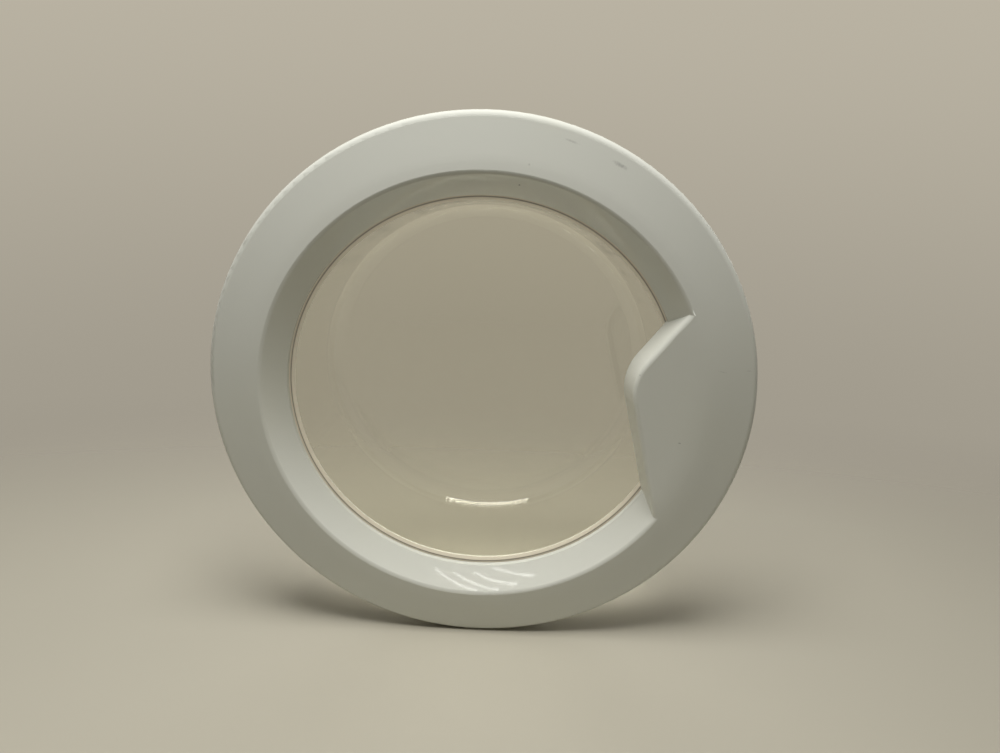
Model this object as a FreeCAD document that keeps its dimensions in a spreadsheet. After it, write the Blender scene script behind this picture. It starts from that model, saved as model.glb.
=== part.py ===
import FreeCAD, Part
import math
import os

import Sketcher
from FreeCAD import Placement, Rotation, Vector

# Porthole door of a front-loading washing machine, shut.
# Millimetres, Z up. The machine's front panel is the plane Y = 0 and the user stands at -Y.
# X = 0, Z = 0 is the middle of the two screws that hold the hinge to that panel.

doc = FreeCAD.newDocument("washer_door")
dims = doc.addObject("Spreadsheet::Sheet", "dims")

# Driving dimensions: alias, size, meaning
DRIVING = [
    ("ring_radius", 231.25, "rim, where the front face and the skirt would meet"),
    ("rim_round", 6.0, "rounding between the front face and the skirt"),
    ("face_width", 46.25, "rim to the edge where the front face turns into the bevel"),
    ("edge_round", 4.0, "rounding of that edge and of the grip's"),
    ("bevel_run", 18.0, "width of the bevel"),
    ("bevel_depth", 18.43, "depth of the bevel"),
    ("crown_lead", 13.0, "how far inside that edge the front face starts to fall away"),
    ("crown_round", 150.0, "arc of that fall"),
    ("face_slope", 10.0, "slope of the front face at the rim"),
    ("frame_depth", 38.0, "both frames together, front edge to back"),
    ("door_gap", 5.0, "back of the inner frame to the front panel"),
    ("skin", 2.6, "wall of both frames"),
    ("lip_land", 4.57, "inner wall of the lip at the end of the bevel"),
    ("skirt_taper", 6.5, "rim to the rear edge of the outer frame's skirt"),
    ("skirt_setback", 1.0, "that edge in front of the inner frame's back"),
    ("grip_reach", 68.6, "front edge to the sharp corner of the grip's rear outline"),
    ("grip_corner_z", 24.0, "height of that corner"),
    ("grip_upper_angle", 53.0, "slope of the grip's upper edge"),
    ("grip_lower_angle", 76.0, "slope of the grip's lower edge"),
    ("grip_nose_radius", 46.0, "rounding of the grip's nose"),
    ("grip_root", 19.25, "end of the grip behind the face, from the rim"),
    ("grip_draft", 13.0, "flare of the grip's wall"),
    ("grip_depth", 21.5, "rear of the grip behind the door's front edge"),
    ("boss_inset", 31.25, "frame screws from the rim"),
    ("boss_radius", 4.2, "screw boss"),
    ("boss_first_angle", 22.5, "first boss, from the grip's side"),
    ("frame_screw_radius", 1.75, "shank of a frame screw"),
    ("frame_screw_length", 16.0, "frame screw with its head"),
    ("screw_head_radius", 3.6, "countersunk head"),
    ("screw_head_height", 1.9, "depth of the countersunk head"),
    ("screw_clearance", 0.3, "hole that a screw passes through, over its shank"),
    ("thread_clearance", 0.05, "threaded hole over the shank"),
    ("head_clearance", 0.1, "countersink over the head"),
    ("recess_width", 1.1, "arm of a cross recess"),
    ("recess_length", 4.4, "span of a cross recess"),
    ("recess_depth", 1.2, "depth of a cross recess"),
    ("glass_thickness", 4.5, "glass"),
    ("glass_gap", 0.3, "lip to the glass flange"),
    ("flange_overlap", 7.0, "glass flange behind the lip"),
    ("flange_clearance", 0.5, "flange to the rim that centres it"),
    ("neck_step", 4.5, "lip to the inside of the bowl"),
    ("mouth_chamfer", 2.0, "ground chamfer round the bowl's mouth"),
    ("bowl_depth", 88.0, "flange front to the bowl's floor"),
    ("bowl_taper", 12.5, "how much narrower the bowl is at its floor, on the radius"),
    ("floor_round", 14.0, "inside rounding round the floor"),
    ("seat_width", 7.2, "seat under the glass flange"),
    ("collar_depth", 3.2, "thickness of the seat at its inner edge"),
    ("collar_run", 13.2, "seat to where the inner frame's collar meets its flat back"),
    ("rim_height", 4.0, "height of the rim round the flange"),
    ("edge_height", 8.0, "height of the inner frame's outer wall"),
    ("frame_clearance", 0.4, "inner frame to the skirt"),
    ("hinge_inset", 17.25, "hinge pin from that corner of the rim"),
    ("hinge_depth", 19.0, "hinge pin behind the door's front edge"),
    ("hinge_reach", 27.0, "hinge pin to the line of panel screws"),
    ("hinge_pin_radius", 3.0, "hinge pin"),
    ("pin_fit", 0.02, "pressed pin or bush in its bore"),
    ("pin_running", 0.05, "turning pin in its bore"),
    ("pin_head_radius", 4.5, "head of the hinge pin"),
    ("pin_head_height", 2.0, "height of either pin's head"),
    ("lug_radius", 7.0, "barrel of the panel half of the hinge"),
    ("lug_height", 24.0, "height of that barrel"),
    ("lug_thickness", 7.0, "arm from that barrel to its plate"),
    ("bush_wall", 1.45, "wall of a hinge bush"),
    ("bush_length", 11.0, "sleeve of a hinge bush"),
    ("bush_flange_radius", 6.2, "flange of a hinge bush"),
    ("bush_flange", 0.8, "thickness of that flange"),
    ("end_play", 0.2, "gap between parts that turn past each other"),
    ("plate_width", 26.0, "panel plate"),
    ("plate_height", 104.0, "panel plate"),
    ("plate_thickness", 3.5, "panel plate"),
    ("plate_round", 6.0, "corners of the panel plate"),
    ("panel_screw_spacing", 76.0, "panel screws"),
    ("panel_hole_radius", 2.75, "hole for a panel screw"),
    ("panel_sink_radius", 5.2, "countersink for a panel screw"),
    ("panel_sink_depth", 2.4, "depth of that countersink"),
    ("leaf_start", 8.0, "near edge of the door half, from the pin"),
    ("leaf_width", 28.0, "door half of the hinge"),
    ("leaf_height", 92.0, "door half of the hinge"),
    ("leaf_thickness", 3.0, "door half of the hinge"),
    ("leaf_round", 5.0, "corners of the door half"),
    ("knuckle_radius", 6.0, "barrel of the door half"),
    ("knuckle_height", 14.0, "height of one barrel of the door half"),
    ("leaf_hole_near", 13.0, "first column of leaf screws, from the pin"),
    ("leaf_hole_pitch", 15.0, "columns of leaf screws"),
    ("leaf_hole_spacing", 72.0, "rows of leaf screws"),
    ("leaf_screw_radius", 1.9, "shank of a leaf screw"),
    ("leaf_screw_length", 13.0, "leaf screw under its head"),
    ("pan_head_radius", 3.8, "pan head"),
    ("pan_head_height", 2.4, "pan head"),
    ("notch_height", 29.0, "cut in both frames for the hinge's arm"),
    ("notch_room", 4.5, "that cut in front of the hinge pin"),
    ("notch_reach", 50.25, "that cut from the rim"),
    ("latch_inset", 35.25, "latch pin from the rim"),
    ("latch_drop", 4.0, "latch pin behind the lever's plate"),
    ("latch_pin_radius", 2.5, "latch pin"),
    ("latch_head_radius", 4.2, "head of the latch pin"),
    ("latch_tail", 2.6, "latch pin below the bracket"),
    ("clip_radius", 4.6, "retaining clip"),
    ("clip_thickness", 0.8, "retaining clip"),
    ("clip_groove", 0.6, "depth of its groove"),
    ("clip_mouth", 2.6, "opening of the clip"),
    ("hook_height", 10.0, "latch hook, top to bottom"),
    ("hook_barrel", 4.6, "barrel of the hook"),
    ("hook_half_width", 4.0, "half the width of the hook's shank"),
    ("hook_reach", 37.0, "pin to the hook's tip"),
    ("hook_catch", 28.0, "pin to the hook's catch face"),
    ("hook_nose", 11.0, "pin line to the hook's nose"),
    ("hook_nose_land", 3.0, "flat end of the nose"),
    ("hook_throat_round", 1.5, "inside corner of the catch"),
    ("hook_tail", 10.5, "pin line to the end of the hook's tail"),
    ("slot_left", 9.0, "hook slot, towards the axis"),
    ("slot_right", 12.5, "hook slot, away from the axis"),
    ("slot_height", 13.0, "hook slot"),
    ("bracket_sheet", 2.0, "steel of the latch bracket"),
    ("bracket_left", 13.0, "bracket's base, towards the axis"),
    ("bracket_right", 16.5, "bracket's base, away from the axis"),
    ("bracket_height", 60.0, "bracket outside its ears"),
    ("ear_half_width", 8.0, "half the width of an ear"),
    ("ear_front", 6.5, "ear in front of the pin"),
    ("bracket_screw_spacing", 40.0, "bracket screws"),
    ("bracket_screw_radius", 2.0, "shank of a bracket screw"),
    ("bracket_screw_length", 7.0, "bracket screw with its head"),
    ("lever_inset", 8.0, "lever's outline inside the grip's"),
    ("lever_rise", 2.5, "back of the lever's plate in front of the grip's rear"),
    ("lever_thickness", 3.0, "lever's plate"),
    ("lever_stop", 10.0, "end of the plate short of the latch pin"),
    ("lever_barrel", 6.0, "barrel of the lever"),
    ("lever_barrel_height", 12.0, "length of one barrel"),
    ("lever_play", 1.0, "lever's barrels to the bracket's ears"),
    ("lever_bar_inner", 4.9, "pusher bar, from the pin line"),
    ("lever_bar_outer", 9.0, "pusher bar, from the pin line"),
    ("lever_bar_back", 0.5, "back of the pusher bar in front of the pin line"),
    ("lever_bar_depth", 3.5, "pusher bar, front to back"),
    ("pusher_gap", 0.3, "pusher bar to the hook's tail"),
    ("lip_width", 5.0, "finger lip along the lever's edge"),
    ("lip_height", 2.0, "finger lip behind the plate"),
    ("spring_radius", 4.0, "middle of the spring's wire"),
    ("spring_wire", 1.2, "square wire of the spring"),
    ("spring_pitch", 2.4, "pitch of the spring"),
    ("spring_turns", 2.5, "turns of the spring"),
    ("spring_start", 5.9, "first turn above the hook's middle"),
]

# Sizes that follow from those: alias, formula, meaning
DERIVED = [
    ("edge_radius", "ring_radius - face_width", "where the front face turns into the bevel"),
    ("opening_radius", "edge_radius - bevel_run", "end of the bevel, at the glass"),
    ("crown_radius", "edge_radius - crown_lead", "where the front face starts to fall away"),
    ("skirt_radius", "ring_radius - skirt_taper", "rear edge of the outer frame's skirt"),
    ("grip_corner_x", "edge_radius - grip_reach", "sharp corner of the grip's outline, from the axis"),
    ("grip_root_radius", "ring_radius - grip_root", "end of the grip behind the face"),
    ("boss_circle", "ring_radius - boss_inset", "ring of frame screws"),
    ("flange_radius", "opening_radius + flange_overlap", "outside of the glass flange"),
    ("neck_radius", "opening_radius - neck_step", "inside of the bowl at the flange"),
    ("floor_radius", "neck_radius - bowl_taper", "inside of the bowl at its floor"),
    ("seat_radius", "flange_radius - seat_width", "inner edge of the seat under the flange"),
    ("collar_radius", "seat_radius + collar_run", "where the collar meets the inner frame's back"),
    ("front_depth", "door_gap + frame_depth", "front edge from the panel"),
    ("hinge_stand", "front_depth - hinge_depth", "hinge pin from the panel"),
    ("notch_front", "hinge_stand + notch_room", "how far the hinge's cut reaches from the panel"),
    ("notch_inner", "ring_radius - notch_reach", "how near the axis it reaches"),
    ("lever_back", "front_depth - grip_depth + lever_rise", "back of the lever's plate from the panel"),
    ("latch_stand", "lever_back - latch_drop", "latch pin from the panel"),
    ("latch_radius", "ring_radius - latch_inset", "latch pin from the axis"),
    ("lever_root", "latch_radius - lever_stop", "how far the plate runs towards the pin"),
    ("ear_inside", "bracket_height / 2 - bracket_sheet", "inner face of an ear from the middle"),
    ("lever_barrel_start", "ear_inside - lever_play - lever_barrel_height", "barrel's near end"),
]
rows = DRIVING + [(alias, f"={formula}", meaning) for alias, formula, meaning in DERIVED]
for row, (alias, size, meaning) in enumerate(rows, start=1):
    dims.set(f"A{row}", meaning)
    dims.set(f"B{row}", str(size))
    dims.setAlias(f"B{row}", alias)
doc.recompute()

FRAME_SCREWS = 8


def value(expression):
    """The present size of an expression on the sheet."""
    return float(dims.evalExpression(str(expression)))


# Places that several pieces share
RING_X = "dims.ring_radius - dims.hinge_inset - dims.hinge_reach"
EDGE_Y = "-dims.front_depth"
BEVEL_Y = f"({EDGE_Y} + dims.bevel_depth)"
LIP_Y = f"({BEVEL_Y} + dims.lip_land)"
GRIP_Y = f"({EDGE_Y} + dims.grip_depth)"
FLANGE_Y = f"({LIP_Y} + dims.glass_gap)"
SEAT_Y = f"({FLANGE_Y} + dims.glass_thickness)"
BACK_Y = "-dims.door_gap"
WEB_Y = "-(dims.door_gap + dims.skin)"
SKIRT_Y = "-(dims.door_gap + dims.skirt_setback)"


CROWN_FALL = "(dims.crown_round - sqrt(dims.crown_round ^ 2 - (dims.edge_radius - dims.crown_radius) ^ 2))"
CROWN_Y = f"({EDGE_Y} - {CROWN_FALL})"


def slope_start(depth="0"):
    """Radius and Y where the crown's arc runs into the straight slope, on the face or a depth under it."""
    radius = f"(dims.crown_radius + (dims.crown_round - {depth}) * sin(dims.face_slope))"
    return radius, f"({CROWN_Y} + {depth} + (dims.crown_round - {depth}) * (1 - cos(dims.face_slope)))"


def face_y(radius, depth="0"):
    """Y of the straight slope at a radius, on the face or a depth under it."""
    start_radius, start_y = slope_start(depth)
    return f"({start_y} + ({radius} - {start_radius}) * tan(dims.face_slope))"


# Document helpers
def bind(thing, **properties):
    """Bind properties to expressions; a double underscore stands for a dot."""
    for name, expression in properties.items():
        thing.setExpression(name.replace("__", "."), str(expression))


def new_body(label, x="0", y="0", z="0"):
    body = doc.addObject("PartDesign::Body", label)
    body.Label = label
    bind(body, Placement__Base__x=x, Placement__Base__y=y, Placement__Base__z=z)
    return body


def origin_part(body, role):
    return next(part for part in body.Origin.OriginFeatures if part.Role == role)


def attach(thing, body, plane, x="0", y="0", lift="0"):
    """Lay a sketch or primitive on an origin plane; the XZ plane faces -Y, so its lift is towards the user."""
    thing.AttachmentSupport = (origin_part(body, plane), [""])
    thing.MapMode = "FlatFace"
    bind(thing, AttachmentOffset__Base__x=x, AttachmentOffset__Base__y=y, AttachmentOffset__Base__z=lift)


def new_sketch(body, name, plane, x="0", y="0", lift="0"):
    sketch = body.newObject("Sketcher::SketchObject", name)
    attach(sketch, body, plane, x, y, lift)
    return sketch


def pin_point(sketch, edge, end, x, y):
    """Hold an edge's end, or an arc's middle, at a place given by two expressions."""
    for kind, expression in (("DistanceX", x), ("DistanceY", y)):
        index = sketch.addConstraint(Sketcher.Constraint(kind, -1, 1, edge, end, value(expression)))
        sketch.setExpression(f"Constraints[{index}]", str(expression))


def arc_between(start, end, radius, bulge):
    """Arc from start to end; a bulge of 1 puts its middle on the left of the chord, -1 on the right."""
    chord = end - start
    rise = math.sqrt(radius**2 - (chord.Length / 2) ** 2)
    left = Vector(-chord.y, chord.x, 0).normalize()
    middle = (start + end) / 2 + left * rise * bulge
    first = math.atan2(start.y - middle.y, start.x - middle.x)
    last = math.atan2(end.y - middle.y, end.x - middle.x)
    if bulge < 0:
        first, last = last, first
    return Part.ArcOfCircle(Part.Circle(middle, Vector(0, 0, 1), radius), first, last)


def draw_outline(sketch, corners, arcs=None):
    """Closed outline through corners; arcs maps a corner's number to the radius and bulge of the edge after it."""
    arcs = arcs or {}
    places = [Vector(value(x), value(y), 0) for x, y in corners]
    ends = []
    for number, start in enumerate(places):
        end = places[(number + 1) % len(places)]
        if number in arcs:
            radius, bulge = arcs[number]
            edge = sketch.addGeometry(arc_between(start, end, value(radius), bulge))
            index = sketch.addConstraint(Sketcher.Constraint("Radius", edge, value(radius)))
            sketch.setExpression(f"Constraints[{index}]", str(radius))
            ends.append((edge, 1, 2) if bulge > 0 else (edge, 2, 1))
        else:
            ends.append((sketch.addGeometry(Part.LineSegment(start, end)), 1, 2))
    for number, (edge, start_end, far_end) in enumerate(ends):
        next_edge, next_start, _ = ends[(number + 1) % len(ends)]
        sketch.addConstraint(Sketcher.Constraint("Coincident", edge, far_end, next_edge, next_start))
        pin_point(sketch, edge, start_end, *corners[number])
    return sketch


def draw_box(sketch, left, bottom, right, top):
    return draw_outline(sketch, [(left, bottom), (right, bottom), (right, top), (left, top)])


def finish_turning(body, name, sketch, axis, kind):
    feature = body.newObject(kind, name)
    feature.Profile = sketch
    feature.ReferenceAxis = (sketch, [axis])
    feature.Angle = 360
    doc.recompute()
    return feature


def turn_about_door(body, name, corners, arcs=None, kind="PartDesign::Revolution"):
    """Turn an outline of (radius, y) corners about the door's axis; as a Groove it is taken away."""
    flipped = [(y, radius) for radius, y in corners]
    sketch = draw_outline(new_sketch(body, f"{name}_profile", "YZ_Plane"), flipped, arcs)
    return finish_turning(body, name, sketch, "H_Axis", kind)


def turn_about_pin(body, name, corners):
    """Turn an outline of (radius, z) corners about an upright pin."""
    sketch = draw_outline(new_sketch(body, f"{name}_profile", "XZ_Plane"), corners)
    return finish_turning(body, name, sketch, "V_Axis", "PartDesign::Revolution")


def extrude(body, name, sketch, length, kind="PartDesign::Pad", reverse=False):
    feature = body.newObject(kind, name)
    feature.Profile = sketch
    feature.Reversed = reverse
    bind(feature, Length=length)
    doc.recompute()
    return feature


def primitive(body, name, kind, plane, x, y, lift, **sizes):
    """An additive or subtractive cylinder, cone or box standing on an origin plane."""
    feature = body.newObject(f"PartDesign::{kind}", name)
    attach(feature, body, plane, x, y, lift)
    bind(feature, **sizes)
    doc.recompute()
    return feature


def round_edges(body, name, radius, chosen):
    """Fillet the edges of the body's last feature that a test picks."""
    base = body.Tip
    names = [f"Edge{i}" for i, edge in enumerate(base.Shape.Edges, start=1) if chosen(edge)]
    feature = body.newObject("PartDesign::Fillet", name)
    feature.Base = (base, names)
    bind(feature, Radius=radius)
    doc.recompute()
    return feature


def ring_edge(radius, y):
    """Test for the circle of a revolved piece at a radius and a depth."""
    radius, y = value(radius), value(y)
    near = 0.01

    def chosen(edge):
        if edge.Degenerated or not isinstance(edge.Curve, Part.Circle):
            return False
        return abs(edge.Curve.Radius - radius) < near and abs(edge.Curve.Center.y - y) < near

    return chosen


def upright_edge(x, y):
    """Test for the straight edge along Z at a place in plan."""
    x, y = value(x), value(y)
    near = 0.01

    def chosen(edge):
        ends = [vertex.Point for vertex in edge.Vertexes]
        return all(abs(p.x - x) < near and abs(p.y - y) < near for p in ends)

    return chosen


def corner_edges(half_height):
    """Test for the edges along Y at the top and bottom corners of a plate."""
    half_height = value(half_height)
    near = 0.01

    def chosen(edge):
        ends = [vertex.Point for vertex in edge.Vertexes]
        along = len(ends) == 2 and abs(ends[0].x - ends[1].x) < near and abs(ends[0].z - ends[1].z) < near
        return along and abs(abs(ends[0].z) - half_height) < near

    return chosen


def boolean(kind, label, **links):
    feature = doc.addObject(f"Part::{kind}", label)
    feature.Label = label
    for name, link in links.items():
        setattr(feature, name, link)
    feature.Refine = False
    doc.recompute()
    return feature


# The grip: one outline, used for its outside, its hollow and the lever behind it
def grip_outline(inset, root):
    """Corners and arcs of the grip's rear outline, set in by a distance, closed by an arc about the axis."""
    upper, lower = "dims.grip_upper_angle", "dims.grip_lower_angle"
    turn = f"sin({upper} + {lower})"
    corner_x = f"(dims.grip_corner_x + {inset} * (cos({lower}) + cos({upper})) / {turn})"
    corner_z = f"(dims.grip_corner_z + {inset} * (sin({upper}) - sin({lower})) / {turn})"
    radius = f"(dims.grip_nose_radius - {inset})"
    tangent = f"({radius} * tan(90 - ({upper} + {lower}) / 2))"

    def along(angle, sign, length):
        return (f"({corner_x} + {length} * cos({angle}))", f"({corner_z} + {sign} * {length} * sin({angle}))")

    def to_root(angle, sign):
        ahead = f"({corner_x} * cos({angle}) + {sign} * {corner_z} * sin({angle}))"
        length = f"(sqrt({ahead} ^ 2 - {corner_x} ^ 2 - {corner_z} ^ 2 + ({root}) ^ 2) - {ahead})"
        return along(angle, sign, length)

    corners = [
        to_root(upper, 1),
        along(upper, 1, tangent),
        along(lower, -1, tangent),
        to_root(lower, -1),
    ]
    return corners, {1: (radius, 1), 3: (root, 1)}


def grip_block(name, inset, root, depth):
    """Block with the grip's flared wall, trimmed to the front face or to a depth under it."""
    body = new_body(name, x=RING_X)
    sketch = new_sketch(body, f"{name}_outline", "XZ_Plane", lift=f"-{GRIP_Y}")
    draw_outline(sketch, *grip_outline(inset, root))
    block = extrude(body, f"{name}_pad", sketch, "dims.frame_depth")
    bind(block, TaperAngle="-dims.grip_draft")
    top, past_front = f"({CROWN_Y} + {depth})", f"({EDGE_Y} - dims.grip_depth)"
    turn_about_door(
        body,
        f"{name}_trim",
        [
            ("0", top),
            ("dims.crown_radius", top),
            slope_start(depth),
            ("dims.ring_radius", face_y("dims.ring_radius", depth)),
            ("dims.ring_radius", past_front),
            ("0", past_front),
        ],
        {1: (f"dims.crown_round - {depth}", -1)},
        kind="PartDesign::Groove",
    )
    return body


# Outer frame: one white ABS moulding, a domed ring with a bevel down to the glass and the grip.
# Its back is open; screw bosses stand up inside.
BEVEL_SHIFT = f"(dims.skin * sqrt(1 + (dims.bevel_run / dims.bevel_depth) ^ 2))"
LIP_RADIUS = "(dims.opening_radius + dims.skin)"
BEVEL_BACK_Y = f"({BEVEL_Y} + ({BEVEL_SHIFT} - dims.skin) * dims.bevel_depth / dims.bevel_run)"
RIM_Y = face_y("dims.ring_radius")
SKIRT_RUN = "(dims.ring_radius - dims.skirt_radius)"
SKIRT_DROP = f"({SKIRT_Y} - {RIM_Y})"
SKIRT_LENGTH = f"sqrt({SKIRT_RUN} ^ 2 + {SKIRT_DROP} ^ 2)"
rim_cosine = f"((cos(dims.face_slope) * {SKIRT_RUN} - sin(dims.face_slope) * {SKIRT_DROP}) / {SKIRT_LENGTH})"
rim_tangent = f"(dims.rim_round * sqrt((1 + {rim_cosine}) / (1 - {rim_cosine})))"
ring = new_body("ring_form", x=RING_X)
turn_about_door(
    ring,
    "ring_solid",
    [
        ("dims.opening_radius", BEVEL_Y),
        ("dims.edge_radius", EDGE_Y),
        slope_start(),
        (
            f"dims.ring_radius - {rim_tangent} * cos(dims.face_slope)",
            f"{RIM_Y} - {rim_tangent} * sin(dims.face_slope)",
        ),
        (
            f"dims.ring_radius - {rim_tangent} * {SKIRT_RUN} / {SKIRT_LENGTH}",
            f"{RIM_Y} + {rim_tangent} * {SKIRT_DROP} / {SKIRT_LENGTH}",
        ),
        ("dims.skirt_radius", SKIRT_Y),
        (f"{LIP_RADIUS} + dims.skin", SKIRT_Y),
        (LIP_RADIUS, LIP_Y),
        ("dims.opening_radius", LIP_Y),
    ],
    {1: ("dims.crown_round", -1), 3: ("dims.rim_round", -1)},
)
round_edges(ring, "edge_rounding", "dims.edge_round", ring_edge("dims.edge_radius", EDGE_Y))


def grip_rim(edge):
    """The grip's front edges that stand clear of the ring, but not the smooth joins across its face."""
    if edge.BoundBox.YMax > value(f"{EDGE_Y} + dims.edge_round"):
        return False
    reaches = [math.hypot(vertex.X, vertex.Z) for vertex in edge.Vertexes]
    across_face = all(abs(reach - value("dims.crown_radius")) < 0.01 for reach in reaches)
    return min(reaches) < value("dims.edge_radius") and not across_face


grip = grip_block("grip_form", "0", "dims.grip_root_radius", "0")
round_edges(grip, "grip_rounding", "dims.edge_round", grip_rim)
front = boolean("Fuse", "front_solid", Base=ring, Tool=grip)

inner_wall = "(dims.ring_radius - dims.skin)"
UNDER = "dims.skin"
under_y = f"({CROWN_Y} + {UNDER})"
bevel_top = f"({LIP_RADIUS} + ({BEVEL_BACK_Y} - {under_y}) * dims.bevel_run / dims.bevel_depth)"
cavity = new_body("ring_cavity", x=RING_X)
turn_about_door(
    cavity,
    "cavity_solid",
    [
        (LIP_RADIUS, LIP_Y),
        (LIP_RADIUS, BEVEL_BACK_Y),
        (bevel_top, under_y),
        slope_start(UNDER),
        (inner_wall, face_y(inner_wall, UNDER)),
        ("dims.skirt_radius - dims.skin", SKIRT_Y),
        ("dims.skirt_radius - dims.skin", "dims.door_gap"),
        (LIP_RADIUS, "dims.door_gap"),
    ],
)
grip_wall = "(dims.skin / cos(dims.grip_draft))"
hollow = grip_block("grip_hollow", grip_wall, f"dims.grip_root_radius - {grip_wall}", UNDER)
hollows = boolean("Fuse", "front_hollows", Base=cavity, Tool=hollow)
shell = boolean("Cut", "front_shell", Base=front, Tool=hollows)

bosses = new_body("frame_bosses", x=RING_X)
boss_x = "dims.boss_circle * cos(dims.boss_first_angle)"
boss_z = "dims.boss_circle * sin(dims.boss_first_angle)"
boss_top = f"-({face_y('dims.boss_circle', 'dims.skin / 2')})"
boss_height = f"{boss_top} + {WEB_Y}"
boss = primitive(
    bosses, "boss", "AdditiveCylinder", "XZ_Plane", boss_x, boss_z, f"-({WEB_Y})",
    Radius="dims.boss_radius", Height=boss_height,
)
pilot = primitive(
    bosses, "boss_pilot", "SubtractiveCylinder", "XZ_Plane", boss_x, boss_z, f"-({WEB_Y})",
    Radius="dims.frame_screw_radius + dims.thread_clearance", Height="dims.frame_screw_length",
)


def ring_pattern(body, name, originals):
    """Repeat features round the door's axis, once for each frame screw."""
    pattern = body.newObject("PartDesign::PolarPattern", name)
    pattern.Originals = originals
    pattern.Axis = (origin_part(body, "Y_Axis"), [""])
    pattern.Angle = 360
    pattern.Occurrences = FRAME_SCREWS
    body.Tip = pattern
    doc.recompute()
    return pattern


ring_pattern(bosses, "boss_ring", [boss, pilot])

# Where the leaf screws stand, from the hinge pin
LEAF_COLUMNS = ["dims.leaf_hole_near", "(dims.leaf_hole_near + dims.leaf_hole_pitch)"]
LEAF_ROWS = ["-dims.leaf_hole_spacing / 2", "dims.leaf_hole_spacing / 2"]
PIN_FROM_AXIS = "-(dims.ring_radius - dims.hinge_inset)"
leaf_front = "dims.hinge_stand + dims.leaf_thickness"
for column, leaf_x in enumerate(LEAF_COLUMNS):
    for row, leaf_z in enumerate(LEAF_ROWS):
        x = f"{PIN_FROM_AXIS} + {leaf_x}"
        reach = f"(sqrt(({x}) ^ 2 + ({leaf_z}) ^ 2) + dims.boss_radius)"
        top = f"-({face_y(reach, 'dims.skin / 2')})"
        primitive(
            bosses, f"leaf_boss_{column}{row}", "AdditiveCylinder", "XZ_Plane", x, leaf_z, leaf_front,
            Radius="dims.boss_radius", Height=f"{top} - ({leaf_front})",
        )
        primitive(
            bosses, f"leaf_pilot_{column}{row}", "SubtractiveCylinder", "XZ_Plane", x, leaf_z, leaf_front,
            Radius="dims.leaf_screw_radius + dims.thread_clearance",
            Height="dims.leaf_screw_length - dims.leaf_thickness + dims.end_play",
        )

notch = doc.addObject("Part::Box", "hinge_notch")
bind(
    notch,
    Length="dims.ring_radius - dims.notch_inner + dims.rim_round",
    Width="dims.notch_front",
    Height="dims.notch_height",
    Placement__Base__x=f"{RING_X} - dims.ring_radius - dims.rim_round",
    Placement__Base__y="-dims.notch_front",
    Placement__Base__z="-dims.notch_height / 2",
)
notched = boolean("Cut", "notched_shell", Base=shell, Tool=notch)
outer_frame = boolean("Fuse", "outer_frame", Base=notched, Tool=bosses)

# Inner frame: a white moulded ring that closes the back, carries the glass flange on a seat and
# centres it in a low rim. The screws come in through it from behind.
inner_frame = new_body("inner_frame", x=RING_X)
rim_inside = "(dims.flange_radius + dims.flange_clearance)"
rim_outside = f"({rim_inside} + dims.skin)"
edge_outside = "(dims.skirt_radius - dims.skin - dims.frame_clearance)"
edge_inside = f"({edge_outside} - dims.skin)"
turn_about_door(
    inner_frame,
    "inner_ring",
    [
        ("dims.seat_radius", SEAT_Y),
        (rim_inside, SEAT_Y),
        (rim_inside, f"{SEAT_Y} - dims.rim_height"),
        (rim_outside, f"{SEAT_Y} - dims.rim_height"),
        (rim_outside, WEB_Y),
        (edge_inside, WEB_Y),
        (edge_inside, f"{BACK_Y} - dims.edge_height"),
        (edge_outside, f"{BACK_Y} - dims.edge_height"),
        (edge_outside, BACK_Y),
        ("dims.collar_radius", BACK_Y),
        ("dims.seat_radius", f"{SEAT_Y} + dims.collar_depth"),
    ],
)
hinge_opening = new_sketch(inner_frame, "hinge_opening_outline", "XZ_Plane")
draw_box(
    hinge_opening,
    "-dims.ring_radius", "-dims.notch_height / 2", "-dims.notch_inner", "dims.notch_height / 2",
)
extrude(inner_frame, "hinge_opening", hinge_opening, "dims.notch_front", kind="PartDesign::Pocket", reverse=True)
hook_slot = new_sketch(inner_frame, "hook_slot_outline", "XZ_Plane")
draw_box(
    hook_slot,
    "dims.latch_radius - dims.slot_left", "-dims.slot_height / 2",
    "dims.latch_radius + dims.slot_right", "dims.slot_height / 2",
)
extrude(inner_frame, "hook_slot", hook_slot, "dims.notch_front", kind="PartDesign::Pocket", reverse=True)


def countersunk_hole(body, name, x, z, shank_radius, back="dims.door_gap"):
    """Screw hole that opens into a countersink at the back; the two features it is made of."""
    sink = primitive(
        body, f"{name}_sink", "SubtractiveCone", "XZ_Plane", x, z, back,
        Radius1="dims.screw_head_radius + dims.head_clearance",
        Radius2=f"{shank_radius} + dims.head_clearance",
        Height="dims.screw_head_height",
    )
    hole = primitive(
        body, f"{name}_hole", "SubtractiveCylinder", "XZ_Plane", x, z, back,
        Radius=f"{shank_radius} + dims.screw_clearance", Height="dims.skin * 2",
    )
    return [sink, hole]


BRACKET_ROWS = ["-dims.bracket_screw_spacing / 2", "dims.bracket_screw_spacing / 2"]
for row, screw_z in enumerate(BRACKET_ROWS):
    countersunk_hole(inner_frame, f"bracket_{row}", "dims.latch_radius", screw_z, "dims.bracket_screw_radius")
ring_pattern(
    inner_frame,
    "screw_holes",
    countersunk_hole(inner_frame, "frame_screw", boss_x, boss_z, "dims.frame_screw_radius"),
)

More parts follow.
